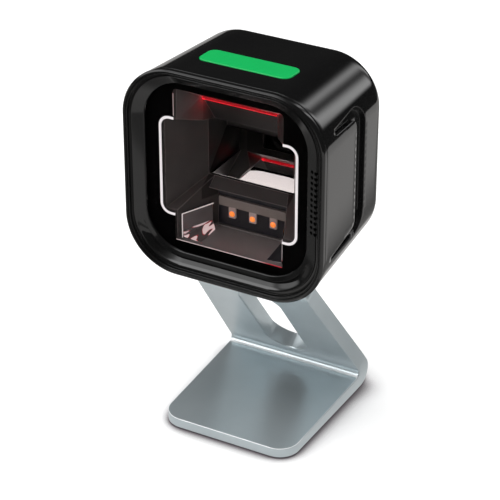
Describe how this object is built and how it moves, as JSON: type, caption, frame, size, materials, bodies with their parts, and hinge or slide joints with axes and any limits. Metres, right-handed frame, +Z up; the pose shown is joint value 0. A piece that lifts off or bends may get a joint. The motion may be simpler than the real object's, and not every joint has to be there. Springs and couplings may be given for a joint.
{
  "type": "presentation barcode scanner",
  "caption": "Hands-free barcode scanner for a shop counter: a tapered, glossy black head with a clear reading window tilts on a bent metal stand and has a lit push button on top.",
  "frame": {"origin": "under the middle of the foot, on the surface the stand rests on", "axes": "+Z up, -Y the way the reading window faces, +X to the right seen from the front"},
  "size_m": [0.0794, 0.0654, 0.1477],
  "materials": {
    "housing_black": "gloss",
    "chassis_black": "satin",
    "window_glass": "gloss",
    "mask_black": "gloss",
    "rubber_black": "matte",
    "mirror": "polished",
    "indicator_green": "satin",
    "stand_metal": "satin",
    "fixing_steel": "satin",
    "board_blue": "satin",
    "board_green": "satin",
    "chip_black": "satin",
    "amber_light": "gloss",
    "red_light": "gloss",
    "grey_diffuser": "satin",
    "flex_amber": "satin",
    "label_grey": "satin"
  },
  "bodies": {
    "stand": {"stand_plate": "stand_metal", "foot_pad": "rubber_black"},
    "head": {"rear_housing": "housing_black", "front_bezel": "housing_black", "window_glass": "window_glass", "window_mask": "mask_black", "window_gasket": "rubber_black", "optical_chassis": "chassis_black", "fold_mirror": "mirror", "side_mirror_left": "mirror", "side_mirror_right": "mirror", "led_board": "board_blue", "led_left": "amber_light", "led_middle": "amber_light", "led_right": "amber_light", "light_pipe": "grey_diffuser", "aiming_bar": "red_light", "imager_board": "board_green", "image_sensor": "chip_black", "lens_barrel": "chassis_black", "imager_lens": "window_glass", "main_board": "board_green", "processor_shield": "fixing_steel", "cable_socket": "chip_black", "speaker": "chip_black", "led_flex": "flex_amber", "rating_label": "label_grey", "housing_screw_top_left": "fixing_steel", "housing_screw_top_right": "fixing_steel", "housing_screw_bottom_left": "fixing_steel", "housing_screw_bottom_right": "fixing_steel", "button_switch": "chip_black", "indicator_board": "board_green", "indicator_led_left": "indicator_green", "indicator_led_right": "indicator_green", "hinge_bracket_left": "fixing_steel", "hinge_bracket_right": "fixing_steel", "friction_washer_left": "fixing_steel", "friction_washer_right": "fixing_steel", "hinge_screw_left_front": "fixing_steel", "hinge_screw_left_rear": "fixing_steel", "hinge_screw_right_front": "fixing_steel", "hinge_screw_right_rear": "fixing_steel", "pivot_pin": "fixing_steel", "pivot_nut": "fixing_steel"},
    "button": {"indicator_button": "indicator_green"}
  },
  "joints": [
    {"name": "head_tilt", "type": "hinge", "parent": "stand", "child": "head", "pos_m": [0, -0.01235, 0.0723], "axis": [-1, 0, 0], "range_deg": [-15, 30]},
    {"name": "button_press", "type": "slide", "parent": "head", "child": "button", "axis": [0, -0.0647, -0.9979], "range_m": [0, 0.0006], "stiffness_N_per_m": 2500, "springref_m": -0.0001}
  ]
}
